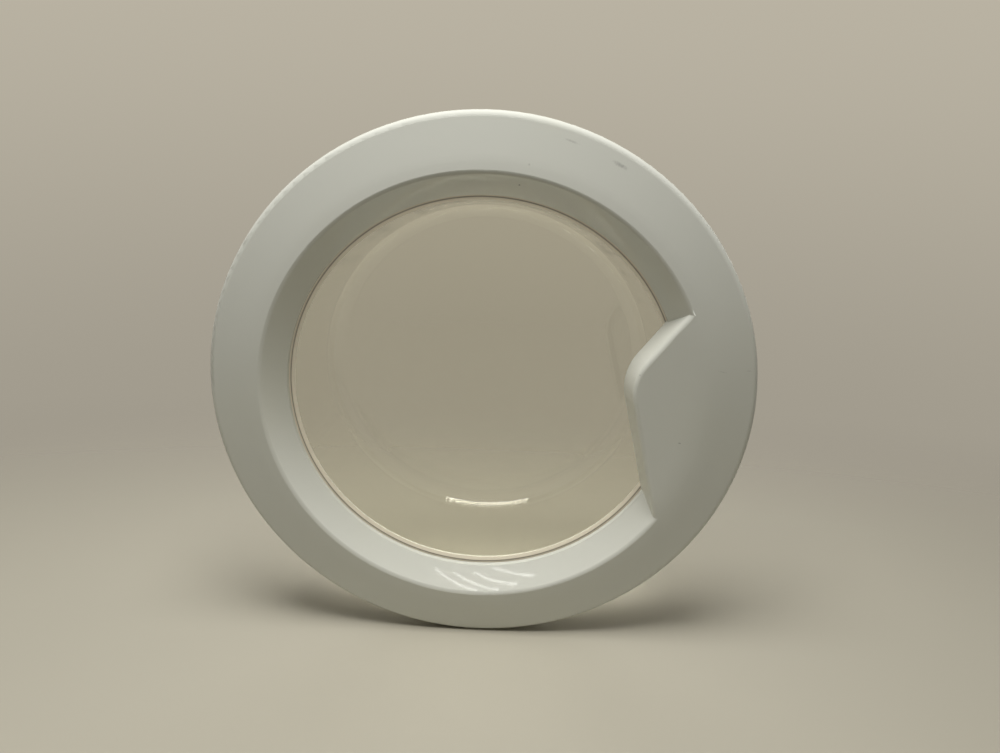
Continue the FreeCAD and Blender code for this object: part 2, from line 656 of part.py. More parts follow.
# Glass bowl: pressed glass with a flat flange, a ground mouth, a tapered wall and a flat floor
glass_bowl = new_body("glass_bowl", x=RING_X)
FLOOR_Y = f"({FLANGE_Y} + dims.bowl_depth)"
wall_slope = "((dims.neck_radius - dims.floor_radius) / dims.bowl_depth)"
wall_shift = f"(dims.glass_thickness * sqrt(1 + {wall_slope} ^ 2))"
outer_floor_y = f"({FLOOR_Y} + dims.glass_thickness)"
outer_floor_r = f"(dims.floor_radius + {wall_shift} - dims.glass_thickness * {wall_slope})"
heel_r = f"(dims.neck_radius + {wall_shift} - dims.glass_thickness * {wall_slope})"
turn_about_door(
    glass_bowl,
    "bowl",
    [
        ("dims.neck_radius + dims.mouth_chamfer", FLANGE_Y),
        ("dims.flange_radius", FLANGE_Y),
        ("dims.flange_radius", SEAT_Y),
        (heel_r, SEAT_Y),
        (outer_floor_r, outer_floor_y),
        ("0", outer_floor_y),
        ("0", FLOOR_Y),
        ("dims.floor_radius", FLOOR_Y),
        (f"dims.neck_radius - dims.mouth_chamfer * {wall_slope}", f"{FLANGE_Y} + dims.mouth_chamfer"),
    ],
)
round_edges(glass_bowl, "floor_inside", "dims.floor_round", ring_edge("dims.floor_radius", FLOOR_Y))
round_edges(
    glass_bowl, "floor_outside", "dims.floor_round + dims.glass_thickness",
    ring_edge(outer_floor_r, outer_floor_y),
)

# Release lever: a white plate in the mouth of the grip, pulled by the fingers that reach behind it.
# Two barrels turn on the latch pin and a bar between them pushes the hook's tail.
release_lever = new_body("release_lever", x=RING_X)
plate = new_sketch(release_lever, "lever_outline", "XZ_Plane", lift="dims.lever_back")
draw_outline(plate, *grip_outline("dims.lever_inset", "dims.lever_root"))
extrude(release_lever, "lever_plate", plate, "dims.lever_thickness")
lip = new_sketch(release_lever, "lip_outline", "XZ_Plane", lift="dims.lever_back")
draw_outline(lip, *grip_outline("dims.lever_inset", "dims.lever_root"))
extrude(release_lever, "finger_lip", lip, "dims.lip_height", reverse=True)
dish = new_sketch(release_lever, "dish_outline", "XZ_Plane", lift="dims.lever_back - dims.lip_height")
draw_outline(dish, *grip_outline("dims.lever_inset + dims.lip_width", "dims.lever_root + dims.lip_width"))
extrude(release_lever, "finger_dish", dish, "dims.lip_height", kind="PartDesign::Pocket", reverse=True)
for side, sign in (("upper", "1"), ("lower", "-1")):
    near = f"{sign} * dims.lever_barrel_start"
    far = f"{sign} * (dims.lever_barrel_start + dims.lever_barrel_height)"
    bottom, top = (near, far) if sign == "1" else (far, near)
    arm = new_sketch(release_lever, f"lever_arm_{side}", "XZ_Plane", lift="dims.lever_back")
    draw_box(arm, "dims.lever_root - dims.lever_barrel * 2", bottom, "dims.latch_radius", top)
    extrude(release_lever, f"{side}_arm", arm, "dims.lever_thickness")
    primitive(
        release_lever, f"{side}_barrel", "AdditiveCylinder", "XY_Plane",
        "dims.latch_radius", "-dims.latch_stand", bottom,
        Radius="dims.lever_barrel", Height="dims.lever_barrel_height",
    )
bar_half = "(dims.lever_barrel_start + dims.lever_barrel_height)"
bar = new_sketch(release_lever, "pusher_bar_outline", "XY_Plane", lift=f"-{bar_half}")
bar_back = "-(dims.latch_stand + dims.lever_bar_back)"
draw_box(
    bar,
    "dims.latch_radius + dims.lever_bar_inner", f"{bar_back} - dims.lever_bar_depth",
    "dims.latch_radius + dims.lever_bar_outer", bar_back,
)
extrude(release_lever, "pusher_bar", bar, f"2 * {bar_half}")
primitive(
    release_lever, "lever_bore", "SubtractiveCylinder", "XY_Plane",
    "dims.latch_radius", "-dims.latch_stand", f"-{bar_half}",
    Radius="dims.latch_pin_radius + dims.pin_running", Height=f"2 * {bar_half}",
)

# Latch hook: a zinc casting on the latch pin, with a barbed shank that reaches into the door lock
LATCH = {"x": f"{RING_X} + dims.latch_radius", "y": "-dims.latch_stand"}
latch_hook = new_body("latch_hook", **LATCH)
hook_bottom = "-dims.hook_height / 2"
shank = new_sketch(latch_hook, "hook_outline", "XY_Plane", lift=hook_bottom)
half, tip, nose, catch = "dims.hook_half_width", "dims.hook_reach", "dims.hook_nose", "dims.hook_catch"
draw_outline(
    shank,
    [
        (f"-{half}", "0"),
        (half, "0"),
        (half, catch),
        (nose, catch),
        (nose, f"{catch} + dims.hook_nose_land"),
        (f"{half} / 2", tip),
        (f"-{half} / 2", tip),
        (f"-{half}", f"{tip} - {half} / 2"),
    ],
)
extrude(latch_hook, "hook_shank", shank, "dims.hook_height")
round_edges(latch_hook, "hook_throat", "dims.hook_throat_round", upright_edge(half, catch))
tail = new_sketch(latch_hook, "hook_tail_outline", "XY_Plane", lift=hook_bottom)
tail_front = "-dims.lever_bar_back + dims.pusher_gap"
draw_box(tail, "0", tail_front, "dims.hook_tail", f"{tail_front} + {half}")
extrude(latch_hook, "hook_tail", tail, "dims.hook_height")
primitive(
    latch_hook, "hook_barrel", "AdditiveCylinder", "XY_Plane", "0", "0", hook_bottom,
    Radius="dims.hook_barrel", Height="dims.hook_height",
)
primitive(
    latch_hook, "hook_bore", "SubtractiveCylinder", "XY_Plane", "0", "0", hook_bottom,
    Radius="dims.latch_pin_radius + dims.pin_running", Height="dims.hook_height",
)

# Latch bracket: folded steel, a base screwed to the inner frame and two ears that carry the pin
latch_bracket = new_body("latch_bracket", **LATCH)
base_back = f"dims.latch_stand + {WEB_Y}"
base_outline = new_sketch(latch_bracket, "base_outline", "XZ_Plane", lift=f"-({base_back})")
draw_box(
    base_outline,
    "-dims.bracket_left", "-dims.bracket_height / 2", "dims.bracket_right", "dims.bracket_height / 2",
)
extrude(latch_bracket, "bracket_base", base_outline, "dims.bracket_sheet")
for side, bottom in (
    ("upper", "dims.ear_inside"),
    ("lower", "-dims.bracket_height / 2"),
):
    ear = new_sketch(latch_bracket, f"{side}_ear_outline", "XY_Plane", lift=bottom)
    draw_box(ear, "-dims.ear_half_width", "-dims.ear_front", "dims.ear_half_width", base_back)
    extrude(latch_bracket, f"{side}_ear", ear, "dims.bracket_sheet")
for side in ("-1", "1"):
    round_edges(
        latch_bracket, f"ear_corners_{'left' if side == '-1' else 'right'}", "dims.ear_half_width / 2",
        upright_edge(f"{side} * dims.ear_half_width", "-dims.ear_front"),
    )
primitive(
    latch_bracket, "ear_holes", "SubtractiveCylinder", "XY_Plane", "0", "0", "-dims.bracket_height / 2",
    Radius="dims.latch_pin_radius + dims.pin_fit", Height="dims.bracket_height",
)
base_slot = new_sketch(latch_bracket, "base_slot_outline", "XZ_Plane")
draw_box(
    base_slot,
    "-dims.slot_left", "-dims.slot_height / 2", "dims.slot_right", "dims.slot_height / 2",
)
extrude(latch_bracket, "base_slot", base_slot, "dims.latch_stand", kind="PartDesign::Pocket")
for row, screw_z in enumerate(BRACKET_ROWS):
    primitive(
        latch_bracket, f"base_hole_{row}", "SubtractiveCylinder", "XZ_Plane", "0", screw_z,
        f"-({base_back})",
        Radius="dims.bracket_screw_radius + dims.thread_clearance", Height="dims.bracket_sheet",
    )

# Latch pin: a headed steel pin down through the bracket, lever and hook, with a clip below
latch_pin = new_body("latch_pin", **LATCH)
ear_top, ear_bottom = "dims.bracket_height / 2", "-dims.bracket_height / 2"
groove_top = f"({ear_bottom} - dims.end_play)"
groove_bottom = f"({groove_top} - dims.clip_thickness - dims.end_play)"
groove_radius = "(dims.latch_pin_radius - dims.clip_groove)"
turn_about_pin(
    latch_pin,
    "pin_turned",
    [
        ("0", f"{ear_bottom} - dims.latch_tail"),
        ("dims.latch_pin_radius", f"{ear_bottom} - dims.latch_tail"),
        ("dims.latch_pin_radius", groove_bottom),
        (groove_radius, groove_bottom),
        (groove_radius, groove_top),
        ("dims.latch_pin_radius", groove_top),
        ("dims.latch_pin_radius", ear_top),
        ("dims.latch_head_radius", ear_top),
        ("dims.latch_head_radius", f"{ear_top} + dims.pin_head_height"),
        ("0", f"{ear_top} + dims.pin_head_height"),
    ],
)
latch_pin_clip = new_body("latch_pin_clip", **LATCH)
clip_bottom = f"{groove_bottom} + dims.end_play / 2"
primitive(
    latch_pin_clip, "clip_disc", "AdditiveCylinder", "XY_Plane", "0", "0", clip_bottom,
    Radius="dims.clip_radius", Height="dims.clip_thickness",
)
primitive(
    latch_pin_clip, "clip_bore", "SubtractiveCylinder", "XY_Plane", "0", "0", clip_bottom,
    Radius=f"{groove_radius} + dims.pin_fit", Height="dims.clip_thickness",
)
clip_mouth = new_sketch(latch_pin_clip, "clip_mouth_outline", "XY_Plane", lift=clip_bottom)
draw_box(clip_mouth, "-dims.clip_mouth / 2", "-dims.clip_radius * 2", "dims.clip_mouth / 2", "0")
extrude(
    latch_pin_clip, "clip_opening", clip_mouth, "dims.clip_thickness",
    kind="PartDesign::Pocket", reverse=True,
)

# Hook spring: a torsion spring of steel wire round the latch pin, over the hook.
# One leg lies along the hook, the other bears on the bracket.
hook_spring = new_body("hook_spring", **LATCH)
wire = new_sketch(hook_spring, "spring_wire_section", "XZ_Plane")
wire_half = "dims.spring_wire / 2"
draw_box(
    wire,
    f"dims.spring_radius - {wire_half}", f"dims.spring_start - {wire_half}",
    f"dims.spring_radius + {wire_half}", f"dims.spring_start + {wire_half}",
)
coil = hook_spring.newObject("PartDesign::AdditiveHelix", "spring_coil")
coil.Profile = wire
coil.ReferenceAxis = (wire, ["V_Axis"])
coil.Mode = "pitch-turns-angle"
coil.LeftHanded = True
bind(coil, Pitch="dims.spring_pitch", Turns="dims.spring_turns")
doc.recompute()
leg_length = f"{base_back} - dims.bracket_sheet - dims.end_play"
for name, side, height in (
    ("hook_leg", "dims.spring_radius", "dims.spring_start"),
    ("bracket_leg", "-dims.spring_radius", "dims.spring_start + dims.spring_pitch * dims.spring_turns"),
):
    primitive(
        hook_spring, name, "AdditiveBox", "XZ_Plane",
        f"{side} - {wire_half}", f"{height} - {wire_half}", f"-({leg_length})",
        Length="dims.spring_wire", Width="dims.spring_wire", Height=leg_length,
    )

# Hinge, panel half: a zinc casting screwed to the machine, its arm cranked out to the pin
HINGE = {"x": "-dims.hinge_reach", "y": "-dims.hinge_stand"}
hinge_plate = new_body("hinge_plate", **HINGE)
plate_outline = new_sketch(hinge_plate, "plate_outline", "XZ_Plane", lift="-dims.hinge_stand")
draw_box(
    plate_outline,
    "dims.hinge_reach - dims.plate_width / 2", "-dims.plate_height / 2",
    "dims.hinge_reach + dims.plate_width / 2", "dims.plate_height / 2",
)
extrude(hinge_plate, "panel_plate", plate_outline, "dims.plate_thickness")
round_edges(hinge_plate, "plate_corners", "dims.plate_round", corner_edges("dims.plate_height / 2"))
lug_bottom = "-dims.lug_height / 2"
arm_outline = new_sketch(hinge_plate, "arm_outline", "XY_Plane", lift=lug_bottom)
arm_angle = "atan((dims.hinge_stand - dims.plate_thickness) / dims.hinge_reach)"
arm_side_x = f"(dims.lug_thickness / 2 * sin({arm_angle}))"
arm_side_y = f"(dims.lug_thickness / 2 * cos({arm_angle}))"
plate_face = "(dims.hinge_stand - dims.plate_thickness / 2)"
foot = f"(dims.lug_thickness / 2 / sin({arm_angle}))"
draw_outline(
    arm_outline,
    [
        (arm_side_x, f"-{arm_side_y}"),
        (f"dims.hinge_reach + {foot}", plate_face),
        (f"dims.hinge_reach - {foot}", plate_face),
        (f"-{arm_side_x}", arm_side_y),
    ],
)
extrude(hinge_plate, "hinge_arm", arm_outline, "dims.lug_height")
primitive(
    hinge_plate, "lug_barrel", "AdditiveCylinder", "XY_Plane", "0", "0", lug_bottom,
    Radius="dims.lug_radius", Height="dims.lug_height",
)
BUSH_OUTSIDE = "(dims.hinge_pin_radius + dims.pin_running + dims.bush_wall)"
primitive(
    hinge_plate, "lug_bore", "SubtractiveCylinder", "XY_Plane", "0", "0", lug_bottom,
    Radius=f"{BUSH_OUTSIDE} + dims.pin_fit", Height="dims.lug_height",
)
for row in ("-1", "1"):
    place = ("dims.hinge_reach", f"{row} * dims.panel_screw_spacing / 2")
    name = "lower" if row == "-1" else "upper"
    primitive(
        hinge_plate, f"panel_hole_{name}", "SubtractiveCylinder", "XZ_Plane", *place, "-dims.hinge_stand",
        Radius="dims.panel_hole_radius", Height="dims.plate_thickness",
    )
    primitive(
        hinge_plate, f"panel_sink_{name}", "SubtractiveCone", "XZ_Plane", *place,
        "-dims.hinge_stand + dims.plate_thickness - dims.panel_sink_depth",
        Radius1="dims.panel_hole_radius", Radius2="dims.panel_sink_radius", Height="dims.panel_sink_depth",
    )

# Hinge bushes: two flanged nylon sleeves pressed into the lug from its ends
for label, turn in (("hinge_bush_upper", 0), ("hinge_bush_lower", 180)):
    bush = new_body(label, **HINGE)
    bush.Placement = Placement(bush.Placement.Base, Rotation(Vector(1, 0, 0), turn))
    bore, flange = "dims.hinge_pin_radius + dims.pin_running", "dims.bush_flange_radius"
    seat = "dims.lug_height / 2"
    turn_about_pin(
        bush,
        f"{label}_turned",
        [
            (bore, f"{seat} - dims.bush_length"),
            (BUSH_OUTSIDE, f"{seat} - dims.bush_length"),
            (BUSH_OUTSIDE, seat),
            (flange, seat),
            (flange, f"{seat} + dims.bush_flange"),
            (bore, f"{seat} + dims.bush_flange"),
        ],
    )

# Hinge, door half: a zinc leaf inside the door with two barrels round the pin
hinge_leaf = new_body("hinge_leaf", **HINGE)
leaf_outline = new_sketch(hinge_leaf, "leaf_outline", "XZ_Plane")
draw_box(
    leaf_outline,
    "dims.leaf_start", "-dims.leaf_height / 2",
    "dims.leaf_start + dims.leaf_width", "dims.leaf_height / 2",
)
extrude(hinge_leaf, "leaf_plate", leaf_outline, "dims.leaf_thickness")
round_edges(hinge_leaf, "leaf_corners", "dims.leaf_round", corner_edges("dims.leaf_height / 2"))
knuckle_near = "(dims.lug_height / 2 + dims.bush_flange + dims.end_play)"
for side in ("upper", "lower"):
    bottom = knuckle_near if side == "upper" else f"-({knuckle_near} + dims.knuckle_height)"
    web = new_sketch(hinge_leaf, f"{side}_web_outline", "XZ_Plane")
    draw_box(web, "0", bottom, "dims.leaf_start * 2", f"{bottom} + dims.knuckle_height")
    extrude(hinge_leaf, f"{side}_web", web, "dims.leaf_thickness")
    primitive(
        hinge_leaf, f"{side}_knuckle", "AdditiveCylinder", "XY_Plane", "0", "0", bottom,
        Radius="dims.knuckle_radius", Height="dims.knuckle_height",
    )
knuckle_far = f"({knuckle_near} + dims.knuckle_height)"
primitive(
    hinge_leaf, "knuckle_bore", "SubtractiveCylinder", "XY_Plane", "0", "0", f"-{knuckle_far}",
    Radius="dims.hinge_pin_radius + dims.pin_fit", Height=f"2 * {knuckle_far}",
)
for column, leaf_x in enumerate(LEAF_COLUMNS):
    for row, leaf_z in enumerate(LEAF_ROWS):
        primitive(
            hinge_leaf, f"leaf_hole_{column}{row}", "SubtractiveCylinder", "XZ_Plane", leaf_x, leaf_z, "0",
            Radius="dims.leaf_screw_radius + dims.screw_clearance", Height="dims.leaf_thickness",
        )

# Hinge pin: headed steel, pressed into the leaf and turning in the bushes
hinge_pin = new_body("hinge_pin", **HINGE)
turn_about_pin(
    hinge_pin,
    "hinge_pin_turned",
    [
        ("0", f"-{knuckle_far}"),
        ("dims.hinge_pin_radius", f"-{knuckle_far}"),
        ("dims.hinge_pin_radius", knuckle_far),
        ("dims.pin_head_radius", knuckle_far),
        ("dims.pin_head_radius", f"{knuckle_far} + dims.pin_head_height"),
        ("0", f"{knuckle_far} + dims.pin_head_height"),
    ],
)


# Screws: plain shanks, with a cross recess in each head
def cross_recess(body, name, x, z, back):
    """Cross cut into a head that faces +Y."""
    arm, half = "dims.recess_length / 2", "dims.recess_width / 2"
    quarter = [(arm, f"-{half}"), (arm, half), (half, half)]
    corners = []
    for _ in range(4):
        corners += quarter
        quarter = [(f"-({z})", x) for x, z in quarter]
    cross = draw_outline(new_sketch(body, f"{name}_outline", "XZ_Plane", x, z, back), corners)
    return extrude(body, name, cross, "dims.recess_depth", kind="PartDesign::Pocket", reverse=True)


def countersunk_screw(body, name, x, z, back, shank_radius, length):
    """One countersunk screw pointing at the user, flush with the face at the back."""
    shank = primitive(
        body, f"{name}_shank", "AdditiveCylinder", "XZ_Plane", x, z, back,
        Radius=shank_radius, Height=length,
    )
    head = primitive(
        body, f"{name}_head", "AdditiveCone", "XZ_Plane", x, z, back,
        Radius1="dims.screw_head_radius", Radius2=shank_radius, Height="dims.screw_head_height",
    )
    return [shank, head, cross_recess(body, f"{name}_recess", x, z, back)]


frame_screws = new_body("frame_screws", x=RING_X)
first_screw = countersunk_screw(
    frame_screws, "frame_screw", boss_x, boss_z, "dims.door_gap",
    "dims.frame_screw_radius", "dims.frame_screw_length",
)
ring_pattern(frame_screws, "screw_ring", first_screw)

bracket_screws = new_body("bracket_screws", **LATCH)
for row, screw_z in enumerate(BRACKET_ROWS):
    countersunk_screw(
        bracket_screws, f"bracket_screw_{row}", "0", screw_z, "dims.door_gap - dims.latch_stand",
        "dims.bracket_screw_radius", "dims.bracket_screw_length",
    )

leaf_screws = new_body("leaf_screws", **HINGE)
for column, leaf_x in enumerate(LEAF_COLUMNS):
    for row, leaf_z in enumerate(LEAF_ROWS):
        name = f"leaf_screw_{column}{row}"
        primitive(
            leaf_screws, f"{name}_shank", "AdditiveCylinder", "XZ_Plane", leaf_x, leaf_z, "0",
            Radius="dims.leaf_screw_radius", Height="dims.leaf_screw_length",
        )
        primitive(
            leaf_screws, f"{name}_head", "AdditiveCylinder", "XZ_Plane", leaf_x, leaf_z,
            "-dims.pan_head_height", Radius="dims.pan_head_radius", Height="dims.pan_head_height",
        )
        cross_recess(leaf_screws, f"{name}_recess", leaf_x, leaf_z, "-dims.pan_head_height")

# Check the document, then write one file for each piece
PIECES = [
    "hinge_plate", "hinge_bush_upper", "hinge_bush_lower",
    "outer_frame", "inner_frame", "glass_bowl", "hinge_leaf", "hinge_pin", "leaf_screws", "frame_screws",
    "latch_bracket", "bracket_screws", "latch_pin", "latch_pin_clip", "hook_spring",
    "release_lever", "latch_hook",
]
doc.recompute()
failed = [thing.Name for thing in doc.Objects if {"Invalid", "Error"} & set(thing.State)]
if failed:
    raise RuntimeError(f"these did not compute: {failed}")
os.makedirs("parts", exist_ok=True)
for label in PIECES:
    piece = doc.getObjectsByLabel(label)[0]
    shape = piece.Shape
    if shape.isNull() or not shape.isValid():
        raise RuntimeError(f"{label} has no valid shape")
    box = shape.BoundBox
    print(
        f"{label}: {len(shape.Solids)} solids, {shape.Volume / 1000:.2f} cm3, "
        f"x {box.XMin:.1f} {box.XMax:.1f}, y {box.YMin:.1f} {box.YMax:.1f}, z {box.ZMin:.1f} {box.ZMax:.1f}"
    )
    shape.exportStep(f"parts/{label}.step")
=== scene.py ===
import math

import bpy
from mathutils import Matrix, Vector


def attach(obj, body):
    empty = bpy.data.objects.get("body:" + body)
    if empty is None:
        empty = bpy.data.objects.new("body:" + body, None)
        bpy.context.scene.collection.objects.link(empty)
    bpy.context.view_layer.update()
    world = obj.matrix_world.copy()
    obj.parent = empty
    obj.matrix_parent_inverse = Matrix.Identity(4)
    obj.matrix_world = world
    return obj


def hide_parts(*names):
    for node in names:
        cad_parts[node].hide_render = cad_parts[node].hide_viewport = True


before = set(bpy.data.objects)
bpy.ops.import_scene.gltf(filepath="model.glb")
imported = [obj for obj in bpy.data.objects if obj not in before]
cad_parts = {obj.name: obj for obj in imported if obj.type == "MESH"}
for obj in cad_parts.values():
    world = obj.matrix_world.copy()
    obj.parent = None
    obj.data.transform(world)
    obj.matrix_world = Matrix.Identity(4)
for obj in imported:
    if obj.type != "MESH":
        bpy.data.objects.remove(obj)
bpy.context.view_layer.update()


# Outer frame: one injection-moulded ring of glossy white ABS with a domed face, a bevel down to the
# glass and the grip. Screws through the inner frame hold it from behind. Years of use have left a few
# scuffs and specks on its face.
class Finish:
    """A value on its way through a finish: sums on it add Math nodes, and step() adds any other node."""

    def __init__(self, tree, socket=None):
        self.tree = tree
        self.socket = socket

    def step(self, kind, settings=None, sockets=None, out=0):
        node = self.tree.nodes.new(kind)
        for name, setting in (settings or {}).items():
            setattr(node, name, setting)
        for name, given in (sockets or {}).items():
            if isinstance(given, Finish):
                self.tree.links.new(given.socket, node.inputs[name])
            else:
                node.inputs[name].default_value = given
        return Finish(self.tree, node.outputs[out] if node.outputs else None)

    def sum(self, operation, first, second):
        return self.step("ShaderNodeMath", {"operation": operation}, {0: first, 1: second})

    def __add__(self, other):
        return self.sum("ADD", self, other)

    def __sub__(self, other):
        return self.sum("SUBTRACT", self, other)

    def __rsub__(self, other):
        return self.sum("SUBTRACT", other, self)

    def __mul__(self, other):
        return self.sum("MULTIPLY", self, other)

    __radd__ = __add__
    __rmul__ = __mul__


def new_finish(name):
    """An empty material, the start of its nodes and the place of each point on the piece."""
    material = bpy.data.materials.new(name)
    material.use_nodes = True
    material.node_tree.nodes.clear()
    start = Finish(material.node_tree)
    return material, start, start.step("ShaderNodeTexCoord", out="Object")


def painted(start, **sockets):
    """Close a finish with its shader; an underscore in a socket's name stands for a space."""
    named = {name.replace("_", " "): given for name, given in sockets.items()}
    shader = start.step("ShaderNodeBsdfPrincipled", {}, named)
    start.step("ShaderNodeOutputMaterial", {}, {"Surface": shader})


def noise(place, scale, detail=2.0):
    return place.step("ShaderNodeTexNoise", {}, {"Vector": place, "Scale": scale, "Detail": detail})


def band(value, low, high):
    """Smooth step of a value, from 0 at low to 1 at high."""
    settings = {"interpolation_type": "SMOOTHSTEP"}
    return value.step("ShaderNodeMapRange", settings, {0: value, 1: low, 2: high})


def blend(mask, under, over):
    """One colour over another where the mask is 1."""
    return mask.step("ShaderNodeMix", {"data_type": "RGBA"}, {0: mask, 6: under, 7: over}, out=2)


def bump(height, strength, distance):
    sockets = {"Height": height, "Strength": strength, "Distance": distance}
    return height.step("ShaderNodeBump", {}, sockets)


def length(vector):
    return vector.step("ShaderNodeVectorMath", {"operation": "LENGTH"}, {0: vector}, out="Value")


def mark(place, centre, lean, size):
    """Mask of one scuff on the front: an ellipse with a ragged edge."""
    sockets = {"Vector": place, "Location": centre, "Rotation": (0, lean, 0), "Scale": size}
    laid = place.step("ShaderNodeMapping", {"vector_type": "TEXTURE"}, sockets)
    return 1 - band(length(laid) + noise(place, 700.0, 3.0) * 0.9, 0.55, 1.4)


def coat(node, material):
    """Give a CAD node its finish."""
    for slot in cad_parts[node].material_slots:
        slot.material = material


white, start, place = new_finish("outer_white")
yellowed = band(noise(place, 8.0, 3.0), 0.45, 0.75)
skin = blend(yellowed * 0.5, (0.70, 0.713, 0.656, 1), (0.69, 0.698, 0.622, 1))
streaks = mark(place, (0.2508, -0.040, 0.2090), 0.36, (0.0080, 0.02, 0.0012)) * 0.25
smear = mark(place, (0.2880, -0.040, 0.1930), 0.45, (0.0085, 0.02, 0.0022)) * 0.40
specks = mark(place, (0.2195, -0.043, 0.1915), 0.0, (0.0013, 0.02, 0.0012)) * 0.25
specks = specks + mark(place, (0.2127, -0.036, 0.1760), 0.0, (0.0011, 0.02, 0.0009)) * 0.8
specks = specks + mark(place, (0.3165, -0.036, 0.0290), 0.0, (0.0010, 0.02, 0.0010)) * 0.6
specks = specks + mark(place, (0.3545, -0.043, -0.0295), 0.3, (0.0018, 0.02, 0.0009)) * 0.5
specks = specks + mark(place, (0.3835, -0.040, 0.0335), 0.2, (0.0055, 0.02, 0.0007)) * 0.15
specks = specks + mark(place, (0.4060, -0.038, 0.0340), 0.1, (0.0040, 0.02, 0.0008)) * 0.15
worn = blend(streaks + smear + specks, skin, (0.16, 0.16, 0.16, 1))
dust = band(noise(place, 160.0, 4.0), 0.4, 0.75)
painted(
    start,
    Base_Color=worn,
    Roughness=dust * 0.02 + (streaks + smear) * 0.4 + 0.02,
    IOR=1.5,
    Normal=bump(noise(place, 450.0, 1.0), 0.006, 0.0003),
)
coat("outer_frame", white)

# Glass bowl: clear soda-lime glass pressed in a mould, so its wall ripples a little. Its flange and
# mouth are ground dull, and the flange lies clamped between the two frames. That ground finish glows
# with painted light, its flange is darkened with painted shade, and a thin dark ring on it is a painted
# shadow at the seat.
ring_x = 0.187
floor_inside, floor_outside = 0.0683, 0.0728
floor_corner, wall_lean = (0.13785, 0.0543), 8.085
inside_rounding, outside_rounding, rounding_steps = 0.0140, 0.0185, 14
flange_radius, flange_front, flange_back, flange_edge = 0.174, -0.0197, -0.0152, 0.0006
ground_from, ground_back = 0.163, -0.0150
spin_steps, merge_within = 180, 0.000005


def fit(piece, node, body, slot, *materials):
    """Give a piece its finish and set it in the place of a CAD node."""
    piece.data.materials.clear()
    for material in materials:
        piece.data.materials.append(material)
    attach(piece, body)
    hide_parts(node)


def arc(centre, radius, first, last, count):
    """Points of an arc in the profile's plane; angles in degrees from the radius towards +Y."""
    turns = [math.radians(first + (last - first) * k / count) for k in range(count + 1)]
    return [(centre[0] + radius * math.cos(t), centre[1] + radius * math.sin(t)) for t in turns]


def from_axis(place):
    """The way from the ring's axis to each point, square to that axis."""
    flattened = {"Vector": place, "Location": (-ring_x, 0, 0), "Scale": (1, 0, 1)}
    return place.step("ShaderNodeMapping", {}, flattened)


profile = [(0.0, floor_inside), (0.05, floor_inside), (0.10, floor_inside)]
profile += arc(floor_corner, inside_rounding, 90, wall_lean, rounding_steps)
profile += [(0.1570, 0.0190), (0.16222, -0.0177), (0.1645, flange_front)]
profile += [(flange_radius - flange_edge, flange_front), (flange_radius, flange_front + flange_edge)]
profile += [(flange_radius, flange_back - flange_edge), (flange_radius - flange_edge, flange_back)]
profile += [(0.1676, flange_back), (0.16629, -0.0144), (0.16126, 0.0210)]
profile += arc(floor_corner, outside_rounding, wall_lean, 90, rounding_steps)
profile += [(0.10, floor_outside), (0.05, floor_outside), (0.0, floor_outside)]
bpy.ops.object.select_all(action="DESELECT")
bpy.ops.mesh.primitive_plane_add(size=0.001, location=(ring_x + profile[0][0], profile[0][1], 0))
bowl = bpy.context.object
bowl.name = "pressed_bowl"
bpy.ops.object.transform_apply(location=True, rotation=True, scale=True)
bpy.ops.object.mode_set(mode="EDIT")
bpy.ops.mesh.merge(type="CENTER")
for (radius, y), (next_radius, next_y) in zip(profile, profile[1:]):
    onward = {"value": (next_radius - radius, next_y - y, 0)}
    bpy.ops.mesh.extrude_vertices_move(TRANSFORM_OT_translate=onward)
bpy.ops.mesh.select_all(action="SELECT")
bpy.ops.mesh.spin(steps=spin_steps, angle=math.tau, center=(ring_x, 0, 0), axis=(0, 1, 0))
bpy.ops.mesh.select_all(action="SELECT")
bpy.ops.mesh.remove_doubles(threshold=merge_within)
bpy.ops.mesh.normals_make_consistent(inside=False)
bpy.ops.object.mode_set(mode="OBJECT")
bpy.ops.object.shade_smooth_by_angle(angle=math.radians(30))

clear, start, place = new_finish("clear_glass")
spoke = from_axis(place)
heading = place.step("ShaderNodeVectorMath", {"operation": "NORMALIZE"}, {0: spoke})
flow = noise(heading, 7.0, 3.0) * band(length(spoke), 0.136, 0.152)
ripple = noise(place, 16.0, 1.0) + noise(place, 60.0, 1.0) * 0.12 + flow * 3.0
painted(
    start,
    Base_Color=(0.87, 0.86, 0.775, 1),
    Roughness=0.0,
    IOR=1.5,
    Transmission_Weight=1.0,
    Normal=bump(ripple, 0.03, 0.004),
)
ground, start, place = new_finish("ground_glass_with_painted_glow")
grain = noise(place, 1500.0, 2.0)
span = length(from_axis(place))
# painted shadow: a thin dark ring on the flange, standing for the shadow where the glass meets its seat
painted_seat_shadow = band(span, 0.1646, 0.1651) * (1 - band(span, 0.1655, 0.1660))
# painted shade: the flat of the flange is coloured a little darker than the ground mouth
ledge_with_painted_shade = blend(band(span, 0.1640, 0.1645), (0.62, 0.57, 0.46, 1), (0.56, 0.51, 0.41, 1))
tone_with_painted_shade_and_glow = blend(painted_seat_shadow * 0.75, ledge_with_painted_shade, (0.12, 0.105, 0.08, 1))
painted(
    start,
    Base_Color=tone_with_painted_shade_and_glow,
    Roughness=band(grain, 0.3, 0.7) * 0.2 + 0.45,
    # painted glow: the ground finish emits its own colour, painted light standing for light carried
    # through the glass
    Emission_Color=tone_with_painted_shade_and_glow,
    Emission_Strength=0.18,
    Normal=bump(grain, 0.2, 0.0001),
)
fit(bowl, "glass_bowl", "door", "glass", clear, ground)
for face in bowl.data.polygons:
    reach = math.hypot(face.center.x - ring_x, face.center.z)
    face.material_index = 1 if face.center.y < ground_back and reach > ground_from else 0
bowl.visible_shadow = False


